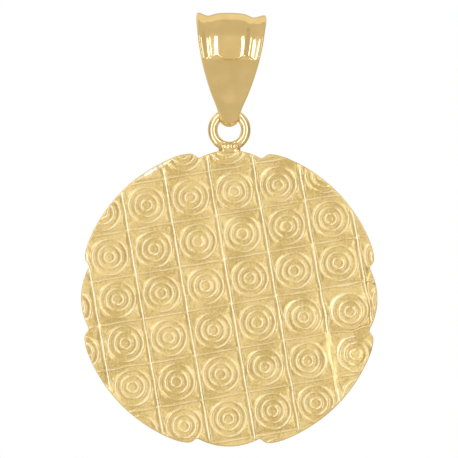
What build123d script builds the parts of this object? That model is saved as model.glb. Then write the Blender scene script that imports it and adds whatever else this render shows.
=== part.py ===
from build123d import *
import os
from math import ceil, cos, hypot, radians, sin

# A round pendant: a stamped medallion with a soldered ring, hanging in a fluted bail.
# Everything is in millimetres. X runs across the pendant, Z is up, and the patterned face looks to -Y.
# The origin is where a chain bears: the middle of the underside of the bail's top fold.

# Bail
bail_width = 6.94  # across the top fold
bail_opening_depth = 5.3  # front to back inside the loop, at its widest
bail_opening_height = 9.87  # from the top fold's underside to the inside of the bottom bend
bail_wall = 0.75  # at the middle of the top fold
bail_tip_wall = 0.83  # at the bottom bend
flute_depth = 0.42  # of the two grooves, at the top fold
wire_clearance = 0.06  # between the ring's wire and the bottom bend around it

# Ring
wire_diameter = 0.97
ring_opening = 2.34

# Medallion
medallion_diameter = 30.32
medallion_thickness = 1.2
bow_inset = 0.36  # of the crown of each of the four bows, inside the round rim
notch_depth = 0.81  # of each notch, inside the round rim, before its rounding
notch_angle = 12.9  # from the middle of a bow to the notch beside it
shoulder_angle = 17.3  # from the middle of a bow to the end of the round rim
shoulder_round = 0.8
notch_round = 0.4
face_edge_round = 0.35
back_edge_round = 0.25

# Stamped pattern
tile_pitch = 4.48
tile_tilt = 9.7  # degrees, the rows rise to the right
grid_shift_across = 0.35  # from the medallion's centre to a crossing of the grid
grid_shift_up = -0.5
circle_radii = (0.52, 1.11, 1.73)  # crests of the three circles in a tile
ridge_width = 0.3
ridge_crest = 0.12  # width of the flat on top
ridge_height = 0.12
ridge_margin = 0.02  # how far a ridge's foot is sunk into the face

# Solder
solder_width = 2.2  # at the ring's wire
solder_spread = 3.0  # on the medallion's edge
solder_thickness = 1.06
solder_round = 0.3
solder_lap = 0.1  # how far up and down from the bow's crown it reaches, as a share of its width
solder_hollow = 0.025  # how far under the crown its hollow sides pass, as a share of its width
seat_overlap = 0.1  # how far the wire sits down into the medallion's edge

# Places that follow from the sizes above
wire_radius = wire_diameter / 2
ring_radius = (ring_opening + wire_diameter) / 2
bend_radius = wire_radius + wire_clearance
wire_z = bend_radius - bail_opening_height
ring_z = wire_z - ring_radius
rim_radius = medallion_diameter / 2
bow_height = rim_radius - bow_inset
notch_height = rim_radius - notch_depth
ring_height = bow_height - seat_overlap + wire_radius + ring_radius
medallion_z = ring_z - ring_height
face_height = medallion_thickness / 2

# The inner line of a bail leg, from the top fold down. Depth is a share of half the opening's depth,
# height a share of the opening's height.
leg_line = (
    {"depth": 0.0, "height": 0.0},
    {"depth": 0.573, "height": 0.084},
    {"depth": 0.883, "height": 0.247},
    {"depth": 1.0, "height": 0.446},
    {"depth": 0.86, "height": 0.62},
)
leg_angle = 61.0  # from straight down round the bottom bend to where the leg leaves it

# Cross-sections of a bail leg. Along is a share of the leg's length, width of the bail's width, wall of
# its wall at the fold, and flute of the flute's depth. Inner and outer say what share of the wall is
# rounded away at the edges, inside and outside.
leg_sections = (
    {"along": 0.0, "width": 0.99, "wall": 1.0, "flute": 1.0, "inner": 0.04, "outer": 0.0},
    {"along": 0.1, "width": 1.0, "wall": 1.0, "flute": 1.0, "inner": 0.04, "outer": 0.0},
    {"along": 0.22, "width": 0.97, "wall": 0.98, "flute": 1.0, "inner": 0.04, "outer": 0.0},
    {"along": 0.36, "width": 0.9, "wall": 0.95, "flute": 0.95, "inner": 0.05, "outer": 0.0},
    {"along": 0.5, "width": 0.79, "wall": 0.93, "flute": 0.75, "inner": 0.06, "outer": 0.04},
    {"along": 0.64, "width": 0.66, "wall": 0.94, "flute": 0.42, "inner": 0.08, "outer": 0.1},
    {"along": 0.78, "width": 0.51, "wall": 0.98, "flute": 0.16, "inner": 0.2, "outer": 0.18},
    {"along": 0.9, "width": 0.35, "wall": 1.04, "flute": 0.03, "inner": 0.4, "outer": 0.28},
)

# Cross-sections round the bottom bend. Angle is from straight down, width a share of the ring's opening.
bend_sections = (
    {"angle": 61.0, "width": 0.8, "inner": 0.54, "outer": 0.3},
    {"angle": 40.0, "width": 0.75, "inner": 0.46, "outer": 0.34},
    {"angle": 20.0, "width": 0.68, "inner": 0.4, "outer": 0.38},
    {"angle": 0.0, "width": 0.64, "inner": 0.38, "outer": 0.4},
)

# The fluted outside of a section: how far across, as a share of half its width, and how far down.
crown_end = {"across": 0.5, "down": 0.71}
groove = {"across": 0.7, "down": 1.0}
lip = {"across": 1.0, "down": 0.29}
edge_bulge = 0.2  # of a section's rounded edge, as a share of the edge's height


def rim_point(radius, angle):
    return Vector(radius * cos(radians(angle)), radius * sin(radians(angle)))


def corners_at(face, radius):
    return [corner for corner in face.vertices() if abs(hypot(corner.X, corner.Y) - radius) < 1e-3]


def medallion_outline():
    """The round rim, with a shallow bow between two notches on each of its four sides."""
    rim = []
    for side in (0, 90, 180, 270):
        shoulders = [rim_point(rim_radius, side + sign * shoulder_angle) for sign in (-1, 1)]
        notches = [rim_point(notch_height, side + sign * notch_angle) for sign in (-1, 1)]
        next_shoulder = rim_point(rim_radius, side + 90 - shoulder_angle)
        rim.append(Line(shoulders[0], notches[0]))
        rim.append(ThreePointArc(notches[0], rim_point(bow_height, side), notches[1]))
        rim.append(Line(notches[1], shoulders[1]))
        rim.append(ThreePointArc(shoulders[1], rim_point(rim_radius, side + 45), next_shoulder))
    face = fillet(corners_at(make_face(rim), rim_radius), shoulder_round)
    return fillet(corners_at(face, notch_height), notch_round)


def rounded_plate(outline):
    """The space that the medallion fills: its outline, as high as the ridges, rounded at both rims."""
    top = face_height + ridge_height + ridge_margin
    plate = extrude(outline, top + face_height)
    plate = Pos(0, 0, -face_height) * plate
    plate = fillet(plate.faces().sort_by(Axis.Z)[-1].edges(), face_edge_round + ridge_height)
    return fillet(plate.faces().sort_by(Axis.Z)[0].edges(), back_edge_round)


def ridge_profile():
    """A ridge across and up: sloping sides and a flat crest, with its foot sunk a little into the face."""
    crest = face_height + ridge_height
    foot = face_height - ridge_margin
    return (
        (-ridge_width / 2, foot),
        (ridge_width / 2, foot),
        (ridge_crest / 2, crest),
        (-ridge_crest / 2, crest),
    )


def circle_ridge(radius):
    points = [(radius + across, 0, up) for across, up in ridge_profile()]
    return revolve(make_face(Polyline(*points, close=True)), Axis.Z)


def bar_ridge(length):
    points = [(across, -length / 2, up) for across, up in ridge_profile()]
    return extrude(make_face(Polyline(*points, close=True)), length, dir=(0, 1, 0))


def stamped_sheet():
    """A sheet that reaches past the rim, with raised grid lines and three circles in every tile."""
    reach = ceil(rim_radius / tile_pitch) + 1
    turn = Pos(grid_shift_across, grid_shift_up) * Rot(0, 0, tile_tilt)
    bar = bar_ridge(2 * reach * tile_pitch)
    circles = [circle_ridge(radius) for radius in circle_radii]
    ridges = []
    for line in range(-reach, reach + 1):
        ridges.append(turn * Pos(line * tile_pitch, 0) * bar)
        ridges.append(turn * Rot(0, 0, 90) * Pos(line * tile_pitch, 0) * bar)
    for row in range(-reach, reach):
        for column in range(-reach, reach):
            place = turn * Pos((column + 0.5) * tile_pitch, (row + 0.5) * tile_pitch)
            distance = hypot(place.position.X, place.position.Y)
            if distance < rim_radius + tile_pitch / 2:
                ridges.extend(place * circle for circle in circles)
    side = 2 * (reach + 1) * tile_pitch
    # its top is the medallion's face, and it reaches below the back
    sheet = Pos(0, 0, -face_height / 2) * Box(side, side, 3 * face_height)
    return sheet + ridges


def solder():
    """The saddle of solder that joins the ring to the crown of the upper bow."""
    foot = bow_height - solder_width * solder_lap
    neck = bow_height + solder_width * solder_lap
    hollow = bow_height - solder_width * solder_hollow
    half_foot = solder_spread / 2
    half_neck = solder_width / 2
    top = bow_height - seat_overlap + wire_radius
    waist = (half_foot + 2 * half_neck) / 3
    edge = [
        Line((-half_foot, foot - solder_round), (half_foot, foot - solder_round)),
        Line((half_foot, foot - solder_round), (half_foot, foot)),
        ThreePointArc((half_foot, foot), (waist, hollow), (half_neck, neck)),
        Line((half_neck, neck), (half_neck, top)),
        Line((half_neck, top), (-half_neck, top)),
        Line((-half_neck, top), (-half_neck, neck)),
        ThreePointArc((-half_neck, neck), (-waist, hollow), (-half_foot, foot)),
        Line((-half_foot, foot), (-half_foot, foot - solder_round)),
    ]
    saddle = extrude(make_face(edge), solder_thickness / 2, both=True)
    faces = saddle.faces().sort_by(Axis.Z)
    hollows = (faces[0].edges() + faces[-1].edges()).filter_by(GeomType.CIRCLE)
    return fillet(hollows, solder_round)


def medallion():
    outline = medallion_outline()
    ring = Pos(0, ring_height) * Torus(ring_radius, wire_radius)
    plate = rounded_plate(outline) & stamped_sheet()
    plate = plate + [solder(), ring]
    return Pos(0, 0, medallion_z) * Rot(90, 0, 0) * plate


def bail_section(place, width, wall, flute, inner, outer):
    """A cross-section of the bail: fluted outside, crowned inside, with rounded edges."""
    half = width / 2

    def outside(row):
        rounded = outer * wall * row["across"] ** 2
        return wall - rounded - flute * row["down"]

    def point(side, row):
        return (side * row["across"] * half, outside(row))

    lip_height = outside(lip)
    foot_height = inner * wall
    middle = (lip_height + foot_height) / 2
    bulge = edge_bulge * (lip_height - foot_height)
    body = half - bulge
    edges = [
        ThreePointArc(point(-1, crown_end), (0, wall), point(1, crown_end)),
        ThreePointArc(point(1, crown_end), point(1, groove), (body, lip_height)),
        ThreePointArc((body, lip_height), (half, middle), (body, foot_height)),
        ThreePointArc((body, foot_height), (0, 0), (-body, foot_height)),
        ThreePointArc((-body, foot_height), (-half, middle), (-body, lip_height)),
        ThreePointArc((-body, lip_height), point(-1, groove), point(-1, crown_end)),
    ]
    return place * make_face(edges)


def leg_place(point, heading):
    return Plane(origin=point, x_dir=(1, 0, 0), z_dir=heading)


def mirrored_place(place):
    """The same place on the other half of the loop, still heading round the same way."""
    point = (0, -place.origin.Y, place.origin.Z)
    heading = (0, place.z_dir.Y, -place.z_dir.Z)
    return leg_place(point, heading)


def bail():
    """The folded loop: one leg lofted from the top fold to the bottom bend, and mirrored."""
    bend_start = (0, -bend_radius * sin(radians(leg_angle)), wire_z - bend_radius * cos(radians(leg_angle)))
    half_depth = bail_opening_depth / 2
    points = [(0, -row["depth"] * half_depth, -row["height"] * bail_opening_height) for row in leg_line]
    leaving = (0, cos(radians(leg_angle)), -sin(radians(leg_angle)))
    line = Spline(*points, bend_start, tangents=((0, -1, 0), leaving))
    places = []
    shapes = []
    for row in leg_sections:
        places.append(leg_place(line @ row["along"], line % row["along"]))
        width = row["width"] * bail_width
        wall = row["wall"] * bail_wall
        flute = row["flute"] * flute_depth
        shapes.append((width, wall, flute, row["inner"], row["outer"]))
    for row in bend_sections:
        lean = radians(row["angle"])
        point = (0, -bend_radius * sin(lean), wire_z - bend_radius * cos(lean))
        places.append(leg_place(point, (0, cos(lean), -sin(lean))))
        width = row["width"] * ring_opening
        shapes.append((width, bail_tip_wall, 0, row["inner"], row["outer"]))
    places = [mirrored_place(places[1]), *places, mirrored_place(places[-2])]
    shapes = [shapes[1], *shapes, shapes[-2]]
    sections = [bail_section(place, *shape) for place, shape in zip(places, shapes)]
    front = split(loft(sections), bisect_by=Plane.XZ, keep=Keep.TOP)
    return front + mirror(front, about=Plane.XZ)


os.makedirs("parts", exist_ok=True)
export_step(bail(), "parts/bail.step")
export_step(medallion(), "parts/medallion.step")
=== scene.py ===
from math import atan2, copysign, cos, degrees, exp, hypot, pi, radians, sin, sqrt, tan
import bmesh
import bpy
from mathutils import Matrix, Vector, noise
from mathutils.geometry import interpolate_bezier


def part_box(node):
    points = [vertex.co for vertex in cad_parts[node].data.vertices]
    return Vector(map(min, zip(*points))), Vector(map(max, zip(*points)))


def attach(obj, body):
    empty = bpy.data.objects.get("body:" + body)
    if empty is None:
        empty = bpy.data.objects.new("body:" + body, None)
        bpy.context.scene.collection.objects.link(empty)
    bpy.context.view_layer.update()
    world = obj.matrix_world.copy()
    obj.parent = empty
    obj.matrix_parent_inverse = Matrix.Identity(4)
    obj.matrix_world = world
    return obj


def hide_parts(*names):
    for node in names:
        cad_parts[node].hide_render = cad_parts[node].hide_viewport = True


# A gold medallion pendant. Shapes are made in millimetres and set down in metres.
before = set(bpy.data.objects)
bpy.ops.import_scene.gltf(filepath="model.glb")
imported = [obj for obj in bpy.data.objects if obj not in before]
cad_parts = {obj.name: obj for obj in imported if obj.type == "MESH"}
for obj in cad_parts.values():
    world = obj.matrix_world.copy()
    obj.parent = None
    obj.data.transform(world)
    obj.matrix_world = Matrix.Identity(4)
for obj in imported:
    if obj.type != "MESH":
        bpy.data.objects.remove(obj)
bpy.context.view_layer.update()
mm = 0.001
noise.seed_set(3)  # its vectors follow the clock otherwise
print("frame loaded:", sorted(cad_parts))


# Camera and view transform

camera = {
    "distance": 0.35,
    "sensor": 0.036,
    "picture": 458,  # pixels across
    "pixel": 0.0001,  # how much of the pendant one pixel spans
    "middle": (-0.000025, -0.02089),
    "nearest": 0.01,
}


def makeCamera():
    data = bpy.data.cameras.new("camera")
    data.sensor_width = camera["sensor"] * 1000
    data.lens = data.sensor_width * camera["distance"] / (camera["picture"] * camera["pixel"])
    data.clip_start = camera["nearest"]
    viewer = bpy.data.objects.new("camera", data)
    across, up = camera["middle"]
    viewer.location = (across, -camera["distance"], up)
    viewer.rotation_euler = (pi / 2, 0, 0)
    bpy.context.scene.collection.objects.link(viewer)
    bpy.context.scene.camera = viewer
    bpy.context.scene.view_settings.view_transform = "Standard"


# Shader recipes

class Wire:
    def __init__(self, recipe, socket):
        self.recipe = recipe
        self.socket = socket

    def maths(self, operation, first, second):
        return self.recipe.add("ShaderNodeMath", {"operation": operation}, {0: first, 1: second})

    def __add__(self, other):
        return self.maths("ADD", self, other)

    def __radd__(self, other):
        return self.maths("ADD", other, self)

    def __sub__(self, other):
        return self.maths("SUBTRACT", self, other)

    def __rsub__(self, other):
        return self.maths("SUBTRACT", other, self)

    def __mul__(self, other):
        return self.maths("MULTIPLY", self, other)

    def __rmul__(self, other):
        return self.maths("MULTIPLY", other, self)


class Recipe:
    def __init__(self, tree):
        self.tree = tree
        self.tree.nodes.clear()

    def add(self, kind, settings=None, inputs=None, output=0):
        node = self.tree.nodes.new(kind)
        for name, value in (settings or {}).items():
            if name == "stops":
                ramp = node.color_ramp
                for spare in range(len(value) - len(ramp.elements)):
                    ramp.elements.new(1.0)
                for element, (place, colour) in zip(ramp.elements, value):
                    element.position = place
                    element.color = (*colour, 1.0)
            else:
                setattr(node, name, value)
        for name, value in (inputs or {}).items():
            if isinstance(value, Wire):
                self.tree.links.new(value.socket, node.inputs[name])
            else:
                node.inputs[name].default_value = value
        return Wire(self, node.outputs[output]) if node.outputs else node

    def coordinates(self):
        return self.add("ShaderNodeTexCoord", output="Object")

    def stretched(self, scale, turn=(0, 0, 0)):
        where = {"Vector": self.coordinates(), "Scale": scale, "Rotation": turn}
        return self.add("ShaderNodeMapping", {"vector_type": "TEXTURE"}, where)

    def noise(self, size, detail=3, rough=0.55, where=None):
        where = where or self.coordinates()
        inputs = {"Vector": where, "Scale": 1 / size, "Detail": detail, "Roughness": rough}
        return self.add("ShaderNodeTexNoise", None, inputs)

    def fade(self, value, low, high):
        # from 0 at low to 1 at high
        inputs = {"Value": value, "From Min": low, "From Max": high}
        return self.add("ShaderNodeMapRange", {"interpolation_type": "SMOOTHSTEP"}, inputs)

    def mixColour(self, factor, first, second):
        inputs = {"Factor": factor, 6: first, 7: second}
        return self.add("ShaderNodeMix", {"data_type": "RGBA"}, inputs, output=2)

    def bump(self, height, distance, normal=None):
        inputs = {"Height": height, "Distance": distance}
        if normal:
            inputs["Normal"] = normal
        return self.add("ShaderNodeBump", None, inputs)


def newMaterial(name):
    material = bpy.data.materials.new(name)
    material.use_nodes = True
    return material, Recipe(material.node_tree)


def finishMaterial(material, recipe, inputs, constants):
    inputs = {**inputs, **constants}
    shader = recipe.add("ShaderNodeBsdfPrincipled", None, inputs)
    recipe.add("ShaderNodeOutputMaterial", None, {"Surface": shader})
    return material


def rgb(*values):
    return (*values, 1.0)


satin = {
    # the first colour below is painted shade for the hollows and the ridges' feet
    "hollowShade": rgb(0.47, 0.375, 0.2),
    "dull": rgb(0.7, 0.567, 0.29),
    "pale": rgb(0.86, 0.73, 0.435),
    # the crest colour is partly burnish and partly a painted highlight
    "crest": rgb(1.0, 0.93, 0.78),
    # the rim's colour is near white, a painted highlight along the broad part of the rim
    "rimHighlight": rgb(1.0, 0.97, 0.92),
    "rough": (0.3, 0.42),
    "smoothRim": 0.24,
    "smoothCrest": 0.08,  # how much less rough a crest is
    "grainInColour": 0.6,  # the rest is the mottle's
    "grainInRoughness": 0.3,
    # where each change starts and ends, in the noise or in the relief
    "colourFade": (0.39, 0.57),
    "roughFade": (0.4, 0.9),
    "valleyFade": (-0.02, -0.3),
    "crestFade": (0.25, 0.8),
    "smoothFade": (0.7, 1.0),
    "grain": 0.2 * mm,
    "ripple": 0.4 * mm,
    "mottle": 2.4 * mm,
    "grainDepth": 0.018 * mm,
    "rippleDepth": 0.022 * mm,
}


def satinGold():
    material, recipe = newMaterial("satin_gold")
    mottle = recipe.noise(satin["mottle"], detail=4)
    ripple = recipe.noise(satin["ripple"], detail=2)
    grain = recipe.noise(satin["grain"], detail=2)
    relief = recipe.add("ShaderNodeAttribute", {"attribute_name": "relief"}, output="Fac")
    rim = recipe.add("ShaderNodeAttribute", {"attribute_name": "rim"}, output="Fac")
    share = satin["grainInColour"]
    patches = recipe.fade(mottle * (1 - share) + grain * share, *satin["colourFade"])
    base = recipe.mixColour(patches, satin["dull"], satin["pale"])
    # darker where the face lies below the sheet: painted shade in the hollows and grooves
    hollowShaded = recipe.mixColour(recipe.fade(relief, *satin["valleyFade"]), base, satin["hollowShade"])
    # paler on the crests: partly burnish, partly a painted highlight
    wearAndSheen = recipe.mixColour(recipe.fade(relief, *satin["crestFade"]), hollowShaded, satin["crest"])
    # near white where the rim is broad: a painted highlight
    colour = recipe.mixColour(rim, wearAndSheen, satin["rimHighlight"])
    low, high = satin["rough"]
    dullness = recipe.fade(mottle + grain * satin["grainInRoughness"], *satin["roughFade"])
    plain = low + (high - low) * dullness - satin["smoothCrest"] * recipe.fade(relief, *satin["smoothFade"])
    roughness = plain + rim * (satin["smoothRim"] - plain)
    fine = recipe.bump(grain * (1 - rim), satin["grainDepth"])
    normal = recipe.bump(ripple * (1 - rim), satin["rippleDepth"], normal=fine)
    links = {"Base Color": colour, "Roughness": roughness, "Normal": normal}
    return finishMaterial(material, recipe, links, {"Metallic": 1.0})


polish = {
    "streak": (0.10 * mm, 0.10 * mm, 2.5 * mm),
    "cloud": 1.8 * mm,
    "streakDepth": 0.0012 * mm,
    "cloudFade": (0.3, 0.75),
    "roughFade": (0.35, 0.7),
    "bail": {"bright": rgb(0.91, 0.757, 0.482), "dull": rgb(0.83, 0.681, 0.414), "rough": (0.06, 0.13)},
    "ring": {"bright": rgb(0.92, 0.8, 0.58), "dull": rgb(0.87, 0.735, 0.5), "rough": (0.03, 0.07)},
    "solder": {"bright": rgb(0.88, 0.735, 0.47), "dull": rgb(0.78, 0.64, 0.38), "rough": (0.14, 0.24)},
}


def polishedGold(name, finish):
    material, recipe = newMaterial(name)
    cloud = recipe.noise(polish["cloud"], detail=3)
    streak = recipe.noise(1.0, detail=2, where=recipe.stretched(polish["streak"]))
    colour = recipe.mixColour(recipe.fade(cloud, *polish["cloudFade"]), finish["dull"], finish["bright"])
    low, high = finish["rough"]
    roughness = low + (high - low) * recipe.fade(streak * 0.5 + cloud * 0.5, *polish["roughFade"])
    normal = recipe.bump(streak, polish["streakDepth"])
    links = {"Base Color": colour, "Roughness": roughness, "Normal": normal}
    return finishMaterial(material, recipe, links, {"Metallic": 1.0})


# Shared ways of making a piece

def setDown(bm, name, materials, body, replaced):
    bmesh.ops.scale(bm, vec=(mm, mm, mm), verts=bm.verts)
    mesh = bpy.data.meshes.new(name)
    bm.to_mesh(mesh)
    bm.free()
    for material in materials:
        mesh.materials.append(material)
    piece = bpy.data.objects.new(name, mesh)
    bpy.context.scene.collection.objects.link(piece)
    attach(piece, body)
    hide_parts(replaced)
    print("made", name, len(mesh.polygons), "faces")
    return piece


def applied(piece):
    # the piece's mesh with its modifiers made real
    depsgraph = bpy.context.evaluated_depsgraph_get()
    mesh = bpy.data.meshes.new_from_object(piece.evaluated_get(depsgraph))
    old = piece.data
    piece.modifiers.clear()
    piece.data = mesh
    bpy.data.meshes.remove(old)
    return mesh


def smoothed(bm):
    for face in bm.faces:
        face.smooth = True


def facing(bm):
    bmesh.ops.recalc_face_normals(bm, faces=bm.faces)


def extrudeLoop(bm, edges):
    made = bmesh.ops.extrude_edge_only(bm, edges=edges)["geom"]
    verts = [part for part in made if isinstance(part, bmesh.types.BMVert)]
    edges = [part for part in made if isinstance(part, bmesh.types.BMEdge)]
    return verts, edges


# Medallion

disc = {
    "radius": 15.16,
    "thickness": 1.2,
    "bow": 14.795,
    "turned": -0.4,  # the bows lie a little askew
    # beside each bow: angle from its middle, and radius there
    "notch": (
        (12.8, 14.32), (13.7, 14.66), (14.8, 14.92), (16.4, 15.04), (18.7, 15.12), (21.2, 15.16),
    ),
    "cornerSoftness": 0.5,
    "outlinePoints": 540,
    # section of the rim from the face: how far out and how far down, plain and where it is broad
    "plainRim": (
        (0.025, 0.003), (0.055, 0.015), (0.082, 0.037), (0.102, 0.066), (0.114, 0.098), (0.12, 0.14),
    ),
    "broadRim": (
        (0.05, 0.012), (0.18, 0.068), (0.32, 0.134), (0.41, 0.185), (0.44, 0.225), (0.45, 0.28),
    ),
    "broadAt": 120.5,
    "broadSpan": 7,
    "rimFade": 0.12,
    "backRound": 0.25,
    "backSteps": 3,
    "backStrip": 0.15,
    # for the cut: how deep the sheet and the cutter reach, and how near the outline a face of the cut lies
    "sheetDepth": 3,
    "cutterReach": 2,
    "cutSlack": 0.01,
    "cutSteepness": 0.1,
}

tile = {
    "pitch": 4.48,
    "tilt": 9.7,
    "shift": (0.27, -0.54),
    "circleShift": (-0.02, -0.05),
    "circles": (0.53, 1.145, 1.775),
    "circleHalf": 0.155,
    "circleHeight": 0.117,
    # where the height is measured beside a circle's middle, in half widths
    "ridgeSteps": (-1.5, -1.15, -0.75, -0.35, 0, 0.35, 0.75, 1.25),
    "button": 0.08,
    "buttonReach": 0.2,
    "innermost": 0.12,
    # a groove runs along the ridges' feet, deeper on their left, and the finish paints shade into it
    "footAt": 1.3,
    "footHalf": 0.32,
    "footLeft": 0.34,
    "footRight": 0.08,
    # loops between the outer circle and the tile's edge, as a share of the way, and then beside the edge
    "groundLoops": (0.15, 0.85),
    "lineLoops": (1.25, 1.0, 0.7, 0.35, 0),
    "columnHalf": 0.19,
    "columnHeight": 0.13,
    "rowHalf": 0.16,
    "rowHeight": 0.078,
    "rowFoot": 0.18,
    "knot": 0.045,
    "knotSpan": 0.22,
    # the circles are weaker above and below: at which angles, how wide, how much
    "faint": ((70, 28, 0.62), (242, 32, 0.62)),
    "sides": 64,  # a multiple of eight, so that the corners are met
    "reach": 4,
}

wear = {
    "wobble": 0.06,
    "wobbleSize": 1.5,
    "jitter": 0.02,
    "jitterSize": 0.5,
    "jitterStart": Vector((4, 4, 4)),
    "uneven": 0.5,
    "unevenSize": 1.1,
    "unevenStart": Vector((7, 3, 1)),
    "wave": 0.07,
    "waveSize": 5.0,
    "waveStart": Vector((2, 9, 4)),
    "strayReach": 2.15,
    "strayEdge": 8,
}

# dents in the sheet: where they lie on the disc, how far they reach along and across, which way, how deep,
# and how much of the relief is worn off there, which also takes away the crests' painted highlight
dents = (
    {"at": (13.1, -5.6), "reach": (2.2, 1.3), "turn": -70, "depth": 0.2, "wearAndSheen": 0.45},
    {"at": (11.7, -8.2), "reach": (1.6, 0.35), "turn": 35, "depth": 0.14, "wearAndSheen": 0.3},
    {"at": (14.1, 1.6), "reach": (1.3, 0.35), "turn": 80, "depth": 0.16, "wearAndSheen": 0.3},
    {"at": (3.6, -13.6), "reach": (2.2, 0.4), "turn": 8, "depth": 0.12, "wearAndSheen": 0.0},
    {"at": (10.35, -5.7), "reach": (2.5, 0.5), "turn": -81.5, "depth": -0.08, "wearAndSheen": 0.85},
    {"at": (9.55, -5.2), "reach": (2.4, 0.35), "turn": -81.5, "depth": 0.07, "wearAndSheen": 0.15},
)

# circles that were struck askew: their middle, and how far from it they lie
strays = (
    {"at": (11.7, -0.9), "move": (0.43, -0.43)},
    {"at": (12.4, -5.3), "move": (0.24, -0.25)},
    {"at": (7.3, -1.6), "move": (0.19, -0.2)},
    {"at": (8.05, -6.0), "move": (-0.16, -0.15)},
    {"at": (8.8, -10.4), "move": (-0.11, 0)},
    {"at": (5.0, 11.65), "move": (-0.11, -0.25)},
    {"at": (0.6, 10.9), "move": (-0.06, -0.15)},
    {"at": (-11.15, -0.2), "move": (0.04, 0.15)},
    {"at": (-10.4, -4.6), "move": (0.09, 0.2)},
    {"at": (-9.65, -9.0), "move": (0.04, 0.25)},
)


def smoothStep(value):
    t = min(max(value, 0.0), 1.0)
    return t * t * (3 - 2 * t)


def bearing(co):
    return degrees(atan2(co.y, co.x))


def bowRadius(angle):
    # of the shallow bow, from the disc's centre
    corner, reach = disc["notch"][0]
    half = reach * sin(radians(corner))
    rise = disc["bow"] - reach * cos(radians(corner))
    bend = (half ** 2 + rise ** 2) / (2 * rise)
    middle = disc["bow"] - bend
    turn = radians(angle)
    return middle * cos(turn) + sqrt(bend ** 2 - (middle * sin(turn)) ** 2)


def sharpRadius(angle):
    aside = abs((angle - disc["turned"] + 45) % 90 - 45)
    rows = disc["notch"]
    if aside < rows[0][0]:
        return bowRadius(aside)
    for (start, near), (end, far) in zip(rows, rows[1:]):
        if aside < end:
            return near + (far - near) * (aside - start) / (end - start)
    return disc["radius"]


def outlineRadius(angle):
    soft = disc["cornerSoftness"]
    samples = [sharpRadius(angle + soft * step / 2) for step in range(-2, 3)]
    return sum(samples) / len(samples)


def rimBreadth(angle):
    aside = (angle - disc["broadAt"] + 180) % 360 - 180
    return exp(-(aside / disc["broadSpan"]) ** 4)


def rimSection(angle):
    broad = rimBreadth(angle)
    pairs = zip(disc["plainRim"], disc["broadRim"])
    return [(a[0] + (b[0] - a[0]) * broad, a[1] + (b[1] - a[1]) * broad) for a, b in pairs]


def faceRadius(angle):
    return outlineRadius(angle) - rimSection(angle)[-1][0]


def circleProfile():
    # distances from the tile's middle at which the circles are measured; the ground's first loop ends them
    places = [0.0, tile["innermost"]]
    for radius in tile["circles"]:
        places += [radius + step * tile["circleHalf"] for step in tile["ridgeSteps"]]
    return places[:-1]


def ridge(across):
    return (1 + cos(pi * min(abs(across), 1.0))) / 2


def foot(across, depth):
    return depth * exp(-((abs(across) - tile["footAt"]) / tile["footHalf"]) ** 2)


def circleHeight(x, y):
    reach = hypot(x, y)
    near = min(tile["circles"], key=lambda radius: abs(radius - reach))
    across = (reach - near) / tile["circleHalf"]
    angle = degrees(atan2(y, x))
    sideways = cos(radians(angle + tile["tilt"]))
    loss = 0.0
    for middle, width, depth in tile["faint"]:
        aside = (angle - middle + 180) % 360 - 180
        loss += depth * exp(-(aside / width) ** 2)
    depth = tile["footLeft"] if across * sideways < 0 else tile["footRight"]
    button = tile["button"] * ridge(reach / tile["buttonReach"])
    groove = foot(across, depth) * abs(sideways)
    return tile["circleHeight"] * (ridge(across) * (1 - loss) - groove + button)


def lineHeight(x, y):
    # columns are rounded ridges; rows are lower and narrower and sink beside a column, and there is a knot
    half = tile["pitch"] / 2
    beside, along = half - abs(x), half - abs(y)
    across = beside / tile["columnHalf"]
    column = ridge(across) - foot(across, tile["footLeft"] if x > 0 else tile["footRight"])
    row = ridge(along / tile["rowHalf"])
    if y < 0:
        row -= foot(along / tile["rowHalf"], tile["rowFoot"])
    knot = tile["knot"] * exp(-(hypot(beside, along) / tile["knotSpan"]) ** 2)
    return column * tile["columnHeight"] + (1 - ridge(across / 2)) * row * tile["rowHeight"] + knot


def onSquare(turn, reach):
    # where a spoke of the tile meets a square; the spokes gather at the corners, where the lines cross
    half = tile["pitch"] / 2
    ground = half - tile["lineLoops"][0] * tile["columnHalf"]
    even = tile["sides"] // 8 - len(tile["lineLoops"]) + 1
    places = [ground * step / even for step in range(even)]
    places += [half - share * tile["columnHalf"] for share in tile["lineLoops"]]
    side = round(turn / 90)
    aside = turn - 90 * side
    place = places[round(abs(aside) * (len(places) - 1) / 45)] / half
    return Matrix.Rotation(radians(90 * side), 3, "Z") @ Vector((reach, copysign(reach * place, aside), 0))


def makeTile():
    bm = bmesh.new()
    spoke = bm.verts.layers.float.new("spoke")
    places = circleProfile()
    line = [bm.verts.new((radius, 0, 0)) for radius in places]
    for first, second in zip(line, line[1:]):
        bm.edges.new((first, second))
    bmesh.ops.spin(
        bm, geom=bm.verts[:] + bm.edges[:], cent=(0, 0, 0), axis=(0, 0, 1),
        angle=2 * pi, steps=tile["sides"], use_merge=True,
    )
    bmesh.ops.remove_doubles(bm, verts=bm.verts, dist=1e-4)
    for vert in bm.verts:
        vert[spoke] = bearing(vert.co)
    rim = [edge for edge in bm.edges if edge.is_boundary]
    moved = [(vert, 1.0) for vert in bm.verts]
    half = tile["pitch"] / 2
    ground = half - tile["lineLoops"][0] * tile["columnHalf"]
    loops = [(share, ground) for share in tile["groundLoops"]]
    loops += [(1.0, half - share * tile["columnHalf"]) for share in tile["lineLoops"]]
    for share, reach in loops:
        verts, rim = extrudeLoop(bm, rim)
        for vert in verts:
            turn = radians(vert[spoke])
            onCircle = places[-1] * Vector((cos(turn), sin(turn), 0))
            vert.co = onCircle.lerp(onSquare(vert[spoke], reach), share)
        moved += [(vert, 1 - share) for vert in verts]
    shift = Vector((*tile["circleShift"], 0))
    for vert, share in moved:
        vert.co += shift * share
        vert.co.z = circleHeight(vert.co.x - shift.x, vert.co.y - shift.y) + lineHeight(vert.co.x, vert.co.y)
    return bm


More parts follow.
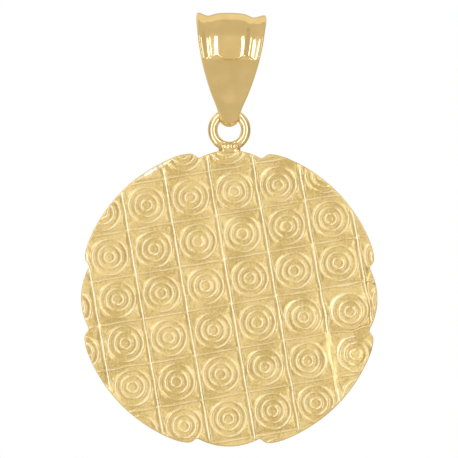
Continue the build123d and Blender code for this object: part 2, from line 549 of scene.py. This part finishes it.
def dented(quality, x, y):
    # the dents' depth or wear, added up at this place
    total = 0.0
    for dent in dents:
        turn = radians(dent["turn"])
        dx = x - dent["at"][0]
        dy = y - dent["at"][1]
        along = (dx * cos(turn) + dy * sin(turn)) / dent["reach"][0]
        across = (dy * cos(turn) - dx * sin(turn)) / dent["reach"][1]
        total += dent[quality] * exp(-along ** 2 - across ** 2)
    return total


def sheetLevel(x, y):
    place = Vector((x, y, 0)) / wear["waveSize"] + wear["waveStart"]
    return wear["wave"] * noise.noise(place) - dented("depth", x, y)


def roughen(co):
    # hand-made unevenness: wandering lines, ridges of uneven height, a sheet that isn't quite flat
    place = Vector((co.x, co.y, 0))
    wander = noise.noise_vector(place / wear["wobbleSize"]) * wear["wobble"]
    wander += noise.noise_vector(place / wear["jitterSize"] + wear["jitterStart"]) * wear["jitter"]
    for stray in strays:
        gap = hypot(co.x - stray["at"][0], co.y - stray["at"][1]) / wear["strayReach"]
        wander += Vector((*stray["move"], 0)) * exp(-gap ** wear["strayEdge"])
    strength = 1 + wear["uneven"] * noise.noise(place / wear["unevenSize"] + wear["unevenStart"])
    inside = faceRadius(bearing(co)) - hypot(co.x, co.y)
    relief = co.z * strength * (1 - dented("wearAndSheen", co.x, co.y)) * smoothStep(inside / disc["rimFade"])
    return Vector((co.x + wander.x, co.y + wander.y, relief + sheetLevel(co.x, co.y)))


def stampedSheet():
    # tiles side by side, tilted, with a flat underside far below, so that the sheet is a closed body
    sheet = bmesh.new()
    pattern = bpy.data.meshes.new("tile")
    one = makeTile()
    one.to_mesh(pattern)
    one.free()
    tilt = Matrix.Rotation(radians(tile["tilt"]), 4, "Z")
    shift = Matrix.Translation((*tile["shift"], 0))
    span = range(-tile["reach"], tile["reach"])
    for row in span:
        for column in span:
            before = len(sheet.verts)
            sheet.from_mesh(pattern)
            sheet.verts.ensure_lookup_table()
            place = Matrix.Translation(((column + 0.5) * tile["pitch"], (row + 0.5) * tile["pitch"], 0))
            bmesh.ops.transform(sheet, matrix=shift @ tilt @ place, verts=sheet.verts[before:])
    bmesh.ops.remove_doubles(sheet, verts=sheet.verts, dist=1e-3)
    for vert in sheet.verts:
        vert.co = roughen(vert.co)
    bpy.data.meshes.remove(pattern)
    border = [edge for edge in sheet.edges if edge.is_boundary]
    verts, border = extrudeLoop(sheet, border)
    for vert in verts:
        vert.co.z = -disc["sheetDepth"]
    bmesh.ops.holes_fill(sheet, edges=border, sides=0)
    facing(sheet)
    return sheet


def discCutter():
    bm = bmesh.new()
    bmesh.ops.create_circle(bm, cap_ends=True, segments=disc["outlinePoints"], radius=1.0)
    for vert in bm.verts:
        reach = faceRadius(bearing(vert.co))
        vert.co = (vert.co.x * reach, vert.co.y * reach, -disc["cutterReach"])
    made = bmesh.ops.extrude_face_region(bm, geom=bm.faces[:])["geom"]
    for part in made:
        if isinstance(part, bmesh.types.BMVert):
            part.co.z = disc["cutterReach"]
    facing(bm)
    return bm


def looseObject(name, bm):
    mesh = bpy.data.meshes.new(name)
    bm.to_mesh(mesh)
    bm.free()
    piece = bpy.data.objects.new(name, mesh)
    bpy.context.scene.collection.objects.link(piece)
    return piece


def isWall(face):
    # what the cutter leaves below the face and round it
    if min(vert.co.z for vert in face.verts) < -disc["cutterReach"] / 2:
        return True
    gaps = [abs(faceRadius(bearing(vert.co)) - hypot(*vert.co.xy)) for vert in face.verts]
    return face.normal.z < disc["cutSteepness"] and max(gaps) < disc["cutSlack"]


def cutToOutline():
    sheet = looseObject("sheet", stampedSheet())
    cutter = looseObject("cutter", discCutter())
    cut = sheet.modifiers.new("cut", "BOOLEAN")
    cut.operation = "INTERSECT"
    cut.solver = "MANIFOLD"
    cut.object = cutter
    mesh = applied(sheet)
    bm = bmesh.new()
    bm.from_mesh(mesh)
    for piece in (sheet, cutter):
        old = piece.data
        bpy.data.objects.remove(piece)
        bpy.data.meshes.remove(old)
    bmesh.ops.remove_doubles(bm, verts=bm.verts, dist=1e-3)
    bm.normal_update()
    bmesh.ops.delete(bm, geom=[face for face in bm.faces if isWall(face)], context="FACES")
    return bm


def rollRim(bm):
    # the rim rounds over, runs down to the back and is closed there
    rimLayer = bm.verts.layers.float.new("rim")
    relief = bm.verts.layers.float["relief"]
    rim = [edge for edge in bm.edges if edge.is_boundary]
    for step in range(len(disc["plainRim"])):
        verts, rim = extrudeLoop(bm, rim)
        for vert in verts:
            angle = bearing(vert.co)
            section = [(0, 0)] + rimSection(angle)
            out = section[step + 1][0] - section[step][0]
            drop = section[step + 1][1] - section[step][1]
            stretch = 1 + out / hypot(vert.co.x, vert.co.y)
            vert.co = (vert.co.x * stretch, vert.co.y * stretch, vert.co.z - drop)
            # the broad part of the rim is marked for the finish's painted highlight
            vert[rimLayer] = rimBreadth(angle)
    verts, rim = extrudeLoop(bm, rim)
    for vert in verts:
        vert.co.z = -disc["thickness"] + disc["backRound"]
        vert[rimLayer] = vert[relief] = 0.0  # the loops that follow copy these
    steps = disc["backSteps"]
    for step in range(steps):
        before = pi / 2 * step / steps
        after = pi / 2 * (step + 1) / steps
        verts, rim = extrudeLoop(bm, rim)
        for vert in verts:
            inwards = disc["backRound"] * (cos(before) - cos(after))
            stretch = 1 - inwards / hypot(vert.co.x, vert.co.y)
            drop = disc["backRound"] * (sin(after) - sin(before))
            vert.co = (vert.co.x * stretch, vert.co.y * stretch, vert.co.z - drop)
    # a flat strip round the back keeps its shading even
    verts, rim = extrudeLoop(bm, rim)
    for vert in verts:
        stretch = 1 - disc["backStrip"] / hypot(vert.co.x, vert.co.y)
        vert.co = (vert.co.x * stretch, vert.co.y * stretch, vert.co.z)
    bmesh.ops.holes_fill(bm, edges=rim, sides=0)


def noteRelief(bm):
    # how high each point of the face stands, as a share of a circle's height; from it the finish paints shade
    # in the hollows, a partly painted highlight on the crests, and makes the crests smoother
    relief = bm.verts.layers.float.new("relief")
    for vert in bm.verts:
        vert[relief] = (vert.co.z - sheetLevel(vert.co.x, vert.co.y)) / tile["circleHeight"]


def medallion(materials):
    low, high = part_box("medallion")
    centre = low.z / mm + disc["bow"]
    bm = cutToOutline()
    noteRelief(bm)
    rollRim(bm)
    facing(bm)
    smoothed(bm)
    stand = Matrix.Translation((0, -disc["thickness"] / 2, centre)) @ Matrix.Rotation(pi / 2, 4, "X")
    bmesh.ops.transform(bm, matrix=stand, verts=bm.verts)
    return setDown(bm, "medallion_disc", materials, "medallion", "medallion")


# Ring and solder

ring = {
    "wire": 0.485,  # half its thickness
    "radius": 1.655,  # to the middle of the wire
    "wireSides": 28,
    "turns": 120,
}

solder = {
    "voxel": 0.045,
    "dimple": 0.04,
    "dimpleSize": 0.35,
    "smoothings": 3,
    "saddle": {"at": (0.02, 0, -1.95), "size": (1.12, 0.5, 0.5)},
    "blobs": (
        {"at": (-0.6, -0.3, -1.66), "size": (0.34, 0.3, 0.3)},
        {"at": (0.05, -0.36, -1.64), "size": (0.44, 0.3, 0.36)},
        {"at": (0.68, -0.32, -1.62), "size": (0.32, 0.28, 0.34)},
        {"at": (0.1, -0.46, -2.08), "size": (0.95, 0.23, 0.3)},
    ),
}


def ringCentre():
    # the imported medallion's top is the ring's top
    low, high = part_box("medallion")
    return high.z / mm - ring["wire"] - ring["radius"]


def jumpRing(material):
    bm = bmesh.new()
    bmesh.ops.create_circle(bm, segments=ring["wireSides"], radius=ring["wire"])
    place = Matrix.Translation((ring["radius"], 0, 0))
    bmesh.ops.transform(bm, matrix=place, verts=bm.verts)
    # the circle lies in X and Y, so it is spun about an axis along Y and then stood up
    bmesh.ops.spin(
        bm, geom=bm.verts[:] + bm.edges[:], cent=(0, 0, 0), axis=(0, 1, 0),
        angle=2 * pi, steps=ring["turns"], use_merge=True,
    )
    bmesh.ops.remove_doubles(bm, verts=bm.verts, dist=1e-4)
    facing(bm)
    smoothed(bm)
    bmesh.ops.translate(bm, vec=(0, 0, ringCentre()), verts=bm.verts)
    return setDown(bm, "jump_ring", [material], "medallion", "medallion")


def addBlob(bm, blob):
    made = bmesh.ops.create_icosphere(bm, subdivisions=4, radius=1.0)["verts"]
    place = Matrix.Translation(blob["at"]) @ Matrix.Diagonal((*blob["size"], 1))
    bmesh.ops.transform(bm, matrix=place, verts=made)


def solderSeat(material):
    bm = bmesh.new()
    addBlob(bm, solder["saddle"])
    for blob in solder["blobs"]:
        addBlob(bm, blob)
    for vert in bm.verts:
        vert.co += noise.noise_vector(vert.co / solder["dimpleSize"]) * solder["dimple"]
    # one closed lump instead of blobs in each other
    lump = looseObject("lump", bm)
    remesh = lump.modifiers.new("unite", "REMESH")
    remesh.mode = "VOXEL"
    remesh.voxel_size = solder["voxel"]
    mesh = applied(lump)
    bm = bmesh.new()
    bm.from_mesh(mesh)
    bpy.data.objects.remove(lump)
    bpy.data.meshes.remove(mesh)
    for step in range(solder["smoothings"]):
        bmesh.ops.smooth_vert(
            bm, verts=bm.verts, factor=0.5, use_axis_x=True, use_axis_y=True, use_axis_z=True,
        )
    bmesh.ops.translate(bm, vec=(0, 0, ringCentre()), verts=bm.verts)
    smoothed(bm)
    return setDown(bm, "solder", [material], "medallion", "medallion")


# Bail

bail = {
    "wire": 0.545,  # inner radius of the bottom bend
    "height": 9.87,
    "leaving": 63,
    "widest": (2.65, -3.85),
    "topPull": 1.42,
    "sidePull": 2.1,
    "turn": 17,  # how far the leg turns inwards at the crease
    "turnRadius": 0.5,
    "lowerPull": 1.8,
    "leavingPull": 1.8,
    # how finely the path is drawn: each long curve, the turn at the crease, the bottom bend
    "curvePoints": 200,
    "turnPoints": 12,
    "bendPoints": 60,
    "legShare": 0.951,
    "legSteps": 46,
    "bendSteps": 14,
    # the crown and the flutes end at the crease: how long their end is, how deep they end, in millimetres
    "endLength": 0.16,
    "endDepth": 0.19,
    "endAt": 0.03,
    "endMargin": 0.1,
    # the crown's end is drawn back at its corners
    "cornerAt": 1.5,
    "cornerSpan": 0.5,
    "cornerBack": 0.3,
    "endSteps": 26,
    "edge": 0.12,
    "crownPower": 2.2,  # how late the outside rounds off
    "outerPoints": 132,
    "slopeSteps": 400,
    "innerPoints": 20,
    "edgePoints": 7,
    "lean": 1.3,
}

# the flutes' section where they are deepest: place as a share of the half width, and slope there in degrees
flutes = {
    "left": (
        (0, 0), (0.25, 3), (0.4, 12), (0.42, 14), (0.53, 19), (0.55, 22), (0.605, 22), (0.625, 19),
        (0.655, 14), (0.67, 0), (0.69, -14), (0.75, -19), (0.78, -25), (0.895, -25), (0.91, -10),
        (0.96, 0), (1, 4),
    ),
    "right": (
        (0, 0), (0.2, 3), (0.33, 12), (0.35, 14), (0.435, 19), (0.46, 27), (0.565, 27), (0.59, 19),
        (0.615, 14), (0.645, 0), (0.685, -14), (0.77, -19), (0.795, -22), (0.835, -22), (0.855, -19),
        (0.89, -14), (0.93, -4), (1, 0),
    ),
}

# the band from the top fold (at 0) to the bottom of the bend (at 1)
band = (
    {"at": 0.0, "half": 3.47, "wall": 0.735, "flute": 0.85, "inner": 0.03, "outer": 0.012},
    {"at": 0.1, "half": 3.5, "wall": 0.74, "flute": 0.88, "inner": 0.03, "outer": 0.012},
    {"at": 0.21, "half": 3.38, "wall": 0.73, "flute": 0.92, "inner": 0.03, "outer": 0.0},
    {"at": 0.34, "half": 3.17, "wall": 0.705, "flute": 0.98, "inner": 0.035, "outer": 0.01},
    {"at": 0.475, "half": 2.8, "wall": 0.695, "flute": 1.08, "inner": 0.04, "outer": 0.03},
    {"at": 0.61, "half": 2.355, "wall": 0.705, "flute": 1.15, "inner": 0.06, "outer": 0.06},
    {"at": 0.74, "half": 1.84, "wall": 0.735, "flute": 0.7, "inner": 0.15, "outer": 0.12},
    {"at": 0.856, "half": 1.28, "wall": 0.78, "flute": 0.0, "inner": 0.35, "outer": 0.23},
    {"at": 0.951, "half": 0.95, "wall": 0.83, "flute": 0.0, "inner": 0.5, "outer": 0.25},
    {"at": 0.968, "half": 0.88, "wall": 0.83, "flute": 0.0, "inner": 0.41, "outer": 0.28},
    {"at": 0.984, "half": 0.8, "wall": 0.83, "flute": 0.0, "inner": 0.33, "outer": 0.32},
    {"at": 1.0, "half": 0.75, "wall": 0.83, "flute": 0.0, "inner": 0.32, "outer": 0.33},
)


def smoothRead(rows, at):
    # a smooth curve through rows of place and value, level at both ends
    row = max(index for index, entry in enumerate(rows[:-1]) if entry[0] <= at)
    here, there = rows[row], rows[row + 1]
    step = there[0] - here[0]

    def slope(index):
        if index in (0, len(rows) - 1):
            return 0.0
        return (rows[index + 1][1] - rows[index - 1][1]) / (rows[index + 1][0] - rows[index - 1][0])

    t = (at - here[0]) / step
    start, end = slope(row) * step, slope(row + 1) * step
    return (
        here[1] * (2 * t ** 3 - 3 * t ** 2 + 1) + start * (t ** 3 - 2 * t ** 2 + t)
        + there[1] * (3 * t ** 2 - 2 * t ** 3) + end * (t ** 3 - t ** 2)
    )


def plainRead(rows, at):
    row = max(index for index, entry in enumerate(rows[:-1]) if entry[0] <= at)
    here, there = rows[row], rows[row + 1]
    return here[1] + (there[1] - here[1]) * (at - here[0]) / (there[0] - here[0])


def depthsFrom(slopes):
    # the slopes added up from the middle outwards: place and depth, both as shares of the half width
    steps = bail["slopeSteps"]
    rows = [(0.0, 0.0)]
    for step in range(steps):
        rise = tan(radians(plainRead(slopes, (step + 0.5) / steps))) / steps
        rows.append(((step + 1) / steps, rows[-1][1] + rise))
    return rows


fluteDepths = {side: depthsFrom(slopes) for side, slopes in flutes.items()}


def fluteDepth(across):
    rows = fluteDepths["right" if across > 0 else "left"]
    place = min(abs(across), 1.0) * bail["slopeSteps"]
    index = min(int(place), bail["slopeSteps"] - 1)
    return rows[index][1] + (rows[index + 1][1] - rows[index][1]) * (place - index)


def readBand(column, at):
    return smoothRead([(entry["at"], entry[column]) for entry in band], at)


def halfPath():
    # inner line of the front leg in depth and height, from the top fold to the bottom, and where it creases
    lean = radians(bail["leaving"])
    middle = bail["wire"] - bail["height"]
    leave = Vector((bail["wire"] * sin(lean), middle - bail["wire"] * cos(lean), 0))
    heading = Vector((cos(lean), sin(lean), 0))
    widest = Vector((*bail["widest"], 0))
    upper = interpolate_bezier(
        Vector((0, 0, 0)), Vector((bail["topPull"], 0, 0)),
        widest + Vector((0, bail["sidePull"], 0)), widest, bail["curvePoints"],
    )
    turn = radians(bail["turn"])
    corner = []
    for step in range(bail["turnPoints"]):
        part = turn * (step + 1) / bail["turnPoints"]
        corner.append(widest + bail["turnRadius"] * Vector((cos(part) - 1, -sin(part), 0)))
    down = Vector((-sin(turn), -cos(turn), 0))
    lower = interpolate_bezier(
        corner[-1], corner[-1] + down * bail["lowerPull"],
        leave + heading * bail["leavingPull"], leave, bail["curvePoints"],
    )
    bend = []
    for step in range(bail["bendPoints"]):
        part = lean * (1 - (step + 1) / bail["bendPoints"])
        bend.append(Vector((bail["wire"] * sin(part), middle - bail["wire"] * cos(part), 0)))
    return upper + corner + lower[1:] + bend, len(upper)


def lengthsAlong(path):
    lengths = [0.0]
    for first, second in zip(path, path[1:]):
        lengths.append(lengths[-1] + (second - first).length)
    return lengths


bailPath, creaseIndex = halfPath()
bailLengths = lengthsAlong(bailPath)
pathLength = bailLengths[-1]
creaseShare = bailLengths[creaseIndex] / pathLength


def stationShares():
    # evenly spaced places on the leg, closer ones round the bend and at the crease
    legShare = bail["legShare"]
    shares = {legShare * step / bail["legSteps"] for step in range(bail["legSteps"])}
    shares |= {legShare + (1 - legShare) * step / bail["bendSteps"] for step in range(bail["bendSteps"] + 1)}
    start = creaseShare - bail["cornerBack"] / pathLength
    end = creaseShare + (bail["endAt"] + bail["endLength"] + bail["endMargin"]) / pathLength
    shares = {share for share in shares if not start < share < end}
    steps = bail["endSteps"]
    return sorted(shares | {start + (end - start) * step / steps for step in range(steps + 1)})


def stationsOn(path, lengths):
    stations = []
    for share in stationShares():
        target = share * pathLength
        past = (index for index, length in enumerate(lengths) if length >= target - 1e-9)
        index = max(1, next(past, len(path) - 1))
        first, second = path[index - 1], path[index]
        part = (target - lengths[index - 1]) / (lengths[index] - lengths[index - 1])
        here = first.lerp(second, part)
        before = path[max(0, index - 2)]
        after = path[min(len(path) - 1, index + 1)]
        ahead = (after - before).normalized()
        if share == 0:
            ahead = Vector((1, 0, 0))
        if share == 1:
            ahead = Vector((-1, 0, 0))
        stations.append((share, here, ahead))
    return stations


def sectionPoints(share):
    # the band's section as points across and outwards, once round
    half = readBand("half", share)
    wall = readBand("wall", share)
    flute = readBand("flute", share)
    past = (share - creaseShare) * pathLength - bail["endAt"]
    inner = readBand("inner", share)
    outer = readBand("outer", share)
    edge = bail["edge"]
    flat = half - edge

    def top(x):
        corner = exp(-((abs(x) - bail["cornerAt"]) / bail["cornerSpan"]) ** 2)
        end = smoothStep((past + bail["cornerBack"] * corner) / bail["endLength"])
        fluted = flute * half * fluteDepth(x / half)
        ended = bail["endDepth"] * flute
        return wall - outer * abs(x / half) ** bail["crownPower"] - fluted - end * (ended - fluted)

    def under(x):
        return inner * (x / half) ** 2

    points = []
    count = bail["outerPoints"]
    for step in range(count + 1):
        x = -flat + 2 * flat * step / count
        points.append((x, top(x)))
    count = bail["edgePoints"]
    high, low = top(flat), under(flat)
    for step in range(1, count + 1):
        turn = pi * step / (count + 1)
        points.append((flat + edge * sin(turn), (high + low) / 2 + (high - low) / 2 * cos(turn)))
    count = bail["innerPoints"]
    for step in range(count + 1):
        x = flat - 2 * flat * step / count
        points.append((x, under(x)))
    count = bail["edgePoints"]
    high, low = top(-flat), under(-flat)
    for step in range(1, count + 1):
        turn = pi * step / (count + 1)
        points.append((-flat - edge * sin(turn), (high + low) / 2 - (high - low) / 2 * cos(turn)))
    return points


def bailLoop(material):
    stations = stationsOn(bailPath, bailLengths)
    rounds = [(share, here, ahead, -1) for share, here, ahead in stations]
    rounds += [(share, here, ahead, 1) for share, here, ahead in reversed(stations[1:-1])]
    bm = bmesh.new()
    number = bm.verts.layers.int.new("number")
    count = len(sectionPoints(0))
    bmesh.ops.create_circle(bm, segments=count, radius=1.0)
    bm.verts.ensure_lookup_table()
    for index, vert in enumerate(bm.verts):
        vert[number] = index
    first = loop = bm.edges[:]
    verts = bm.verts[:]
    for index, (share, here, ahead, side) in enumerate(rounds):
        if index:
            verts, loop = extrudeLoop(bm, loop)
        points = sectionPoints(share)
        outwards = Vector((-ahead.y, ahead.x))
        for vert in verts:
            x, out = points[vert[number]]
            vert.co = (x, side * (here.x + outwards.x * out), here.y + outwards.y * out)
    bmesh.ops.bridge_loops(bm, edges=first + loop)
    bmesh.ops.remove_doubles(bm, verts=bm.verts, dist=1e-4)
    # it hangs a little askew on the ring
    pivot = (0, 0, bail["wire"] - bail["height"])
    bmesh.ops.rotate(bm, cent=pivot, matrix=Matrix.Rotation(radians(bail["lean"]), 3, "Y"), verts=bm.verts)
    facing(bm)
    smoothed(bm)
    return setDown(bm, "bail_loop", [material], "bail", "bail")


# Studio

studio = {
    "middle": (0, 0, -0.014),
    "distance": 0.6,
    "floorLevel": -0.2,
    "floorRadius": 0.33,
    "floorSides": 96,
    "floorRough": 0.6,
    "floorTone": rgb(0.78, 0.8, 0.85),
    "ambient": rgb(1.0, 0.86, 0.56),
    # the room's glow in front, and zones added to it: where each rises and falls along its axes, and how much
    "front": 0.8,
    "zones": (
        {"name": "back", "Y": (0.1, 0.3, 2, 3), "glow": -0.05},
        {"name": "backTop", "Y": (0.12, 0.18, 0.65, 0.8), "Z": (0.4, 0.55, 2, 3), "glow": 0.29},
        {"name": "below", "Z": (-3, -2, -0.5, -0.44), "glow": -0.09},
        {"name": "above", "Z": (0.68, 0.72, 2, 3), "glow": -0.075},
        {"name": "darkRight", "X": (0.62, 0.66, 2, 3), "glow": -0.16},
        {"name": "edgeRight", "X": (0.88, 0.95, 2, 3), "glow": -0.2},
        {"name": "lightLeft", "X": (-0.8, -0.74, -0.62, -0.6), "glow": 0.2},
        {"name": "edgeLeft", "X": (-3, -2, -0.93, -0.86), "glow": -0.3},
    ),
    "lampPower": 4,  # watts for each square metre of a light with a glow of 1
    # each light's place and spread in degrees as seen from the pendant, and its glow
    "lights": (
        {"name": "stripLeft", "azimuth": -33, "elevation": 6, "spread": (10, 68), "glow": 2.85},
        {"name": "stripRight", "azimuth": 33, "elevation": 6, "spread": (10, 68), "glow": 2.2},
    ),
}


def softBox(row):
    data = bpy.data.lights.new(row["name"], "AREA")
    data.shape = "RECTANGLE"
    data.size, data.size_y = (2 * studio["distance"] * tan(radians(spread / 2)) for spread in row["spread"])
    data.energy = studio["lampPower"] * data.size * data.size_y * row["glow"]
    lamp = bpy.data.objects.new(row["name"], data)
    azimuth, elevation = radians(row["azimuth"]), radians(row["elevation"])
    away = Vector((sin(azimuth) * cos(elevation), -cos(azimuth) * cos(elevation), sin(elevation)))
    lamp.location = Vector(studio["middle"]) + away * studio["distance"]
    lamp.rotation_euler = away.to_track_quat("Z", "Y").to_euler()
    lamp.visible_camera = False
    bpy.context.scene.collection.objects.link(lamp)


def surroundings():
    world = bpy.data.worlds.new("studio")
    bpy.context.scene.world = world
    world.use_nodes = True
    recipe = Recipe(world.node_tree)
    direction = recipe.add("ShaderNodeTexCoord", output="Generated")
    glow = studio["front"]
    for zone in studio["zones"]:
        part = zone["glow"]
        for axis in sorted(set(zone) & {"X", "Y", "Z"}):
            rise, risen, fall, fallen = zone[axis]
            place = recipe.add("ShaderNodeSeparateXYZ", None, {0: direction}, output=axis)
            part = (recipe.fade(place, rise, risen) - recipe.fade(place, fall, fallen)) * part
        glow = glow + part
    seen = recipe.add("ShaderNodeLightPath", output="Is Camera Ray")
    strength = glow + seen * (1.0 - glow)
    tint = recipe.mixColour(seen, studio["ambient"], rgb(1, 1, 1))
    sky = recipe.add("ShaderNodeBackground", None, {"Color": tint, "Strength": strength})
    recipe.add("ShaderNodeOutputWorld", None, {"Surface": sky})


def floor():
    material, recipe = newMaterial("pale_floor")
    finish = {"Base Color": studio["floorTone"], "Roughness": studio["floorRough"]}
    finishMaterial(material, recipe, {}, finish)
    bm = bmesh.new()
    bmesh.ops.create_circle(bm, cap_ends=True, segments=studio["floorSides"], radius=studio["floorRadius"])
    bmesh.ops.translate(bm, vec=(0, 0, studio["floorLevel"]), verts=bm.verts)
    plate = looseObject("floor", bm)
    plate.data.materials.append(material)
    plate.visible_glossy = False  # the polished metal is to see the room, not the floor's edge


makeCamera()
satinFinish = satinGold()
bailFinish = polishedGold("polished_gold", polish["bail"])
ringFinish = polishedGold("ring_gold", polish["ring"])
medallion([satinFinish])
jumpRing(ringFinish)
solderSeat(polishedGold("solder_gold", polish["solder"]))
bailLoop(bailFinish)
for row in studio["lights"]:
    softBox(row)
surroundings()
floor()
print("studio set")
